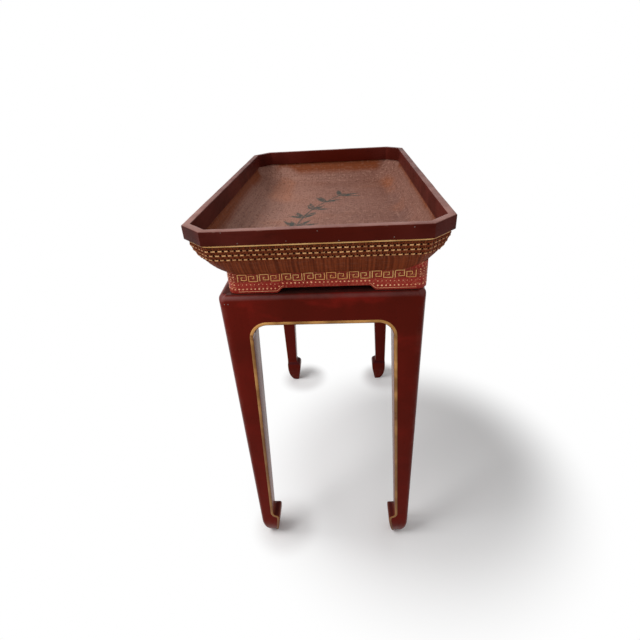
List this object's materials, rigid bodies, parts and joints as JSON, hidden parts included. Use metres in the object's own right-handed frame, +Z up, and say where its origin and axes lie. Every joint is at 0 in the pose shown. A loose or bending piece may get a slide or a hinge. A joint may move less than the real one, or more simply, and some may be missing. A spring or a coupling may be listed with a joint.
{
  "type": "tray table",
  "caption": "Octagonal woven tray with a lacquered board rim and bracket foot, resting loose on a red lacquer stand with tapered hoof-foot legs.",
  "frame": {"origin": "on the floor, under the middle of the stand", "axes": "+Z up, X across the narrow way, Y along the length, the end seen in the picture at -Y"},
  "size_m": [0.47, 0.793, 0.8893],
  "materials": {
    "stand_lacquer": "dark red lacquer, satin, worn along the edges",
    "rim_lacquer": "brown-red lacquer, satin",
    "foot_lacquer": "bright red lacquer with gilt line painting",
    "lacquered_weave": "fine woven bamboo under a thin brown lacquer",
    "lattice_cane": "open cane lattice with gilt crossings",
    "gilt_cane": "worn gilding",
    "bare_wood": "unfinished wood"
  },
  "bodies": {
    "stand": {"leg_front_left": "stand_lacquer", "leg_front_right": "stand_lacquer", "leg_back_left": "stand_lacquer", "leg_back_right": "stand_lacquer", "apron_front": "stand_lacquer", "apron_right": "stand_lacquer", "apron_back": "stand_lacquer", "apron_left": "stand_lacquer", "top_rail_front": "stand_lacquer", "top_rail_right": "stand_lacquer", "top_rail_back": "stand_lacquer", "top_rail_left": "stand_lacquer", "top_panel": "stand_lacquer", "panel_batten_front": "bare_wood", "panel_batten_back": "bare_wood", "peg_front_left": "bare_wood", "peg_front_right": "bare_wood", "peg_right_front": "bare_wood", "peg_right_back": "bare_wood", "peg_back_left": "bare_wood", "peg_back_right": "bare_wood", "peg_left_front": "bare_wood", "peg_left_back": "bare_wood"},
    "tray": {"rim_front": "rim_lacquer", "rim_front_right": "rim_lacquer", "rim_right": "rim_lacquer", "rim_back_right": "rim_lacquer", "rim_back": "rim_lacquer", "rim_back_left": "rim_lacquer", "rim_left": "rim_lacquer", "rim_front_left": "rim_lacquer", "basket_shell": "lacquered_weave", "lattice_band": "lattice_cane", "cane_strip": "gilt_cane", "foot_rail_front": "foot_lacquer", "foot_rail_right": "foot_lacquer", "foot_rail_back": "foot_lacquer", "foot_rail_left": "foot_lacquer", "glue_block_front_left": "bare_wood", "glue_block_front_right": "bare_wood", "glue_block_back_left": "bare_wood", "glue_block_back_right": "bare_wood", "floor_batten_front": "bare_wood", "floor_batten_middle": "bare_wood", "floor_batten_back": "bare_wood"}
  },
  "joints": [
    {"name": "tray_lift", "type": "slide", "parent": "stand", "child": "tray", "axis": [0, 0, 1], "range_m": [0, 0.25]}
  ]
}
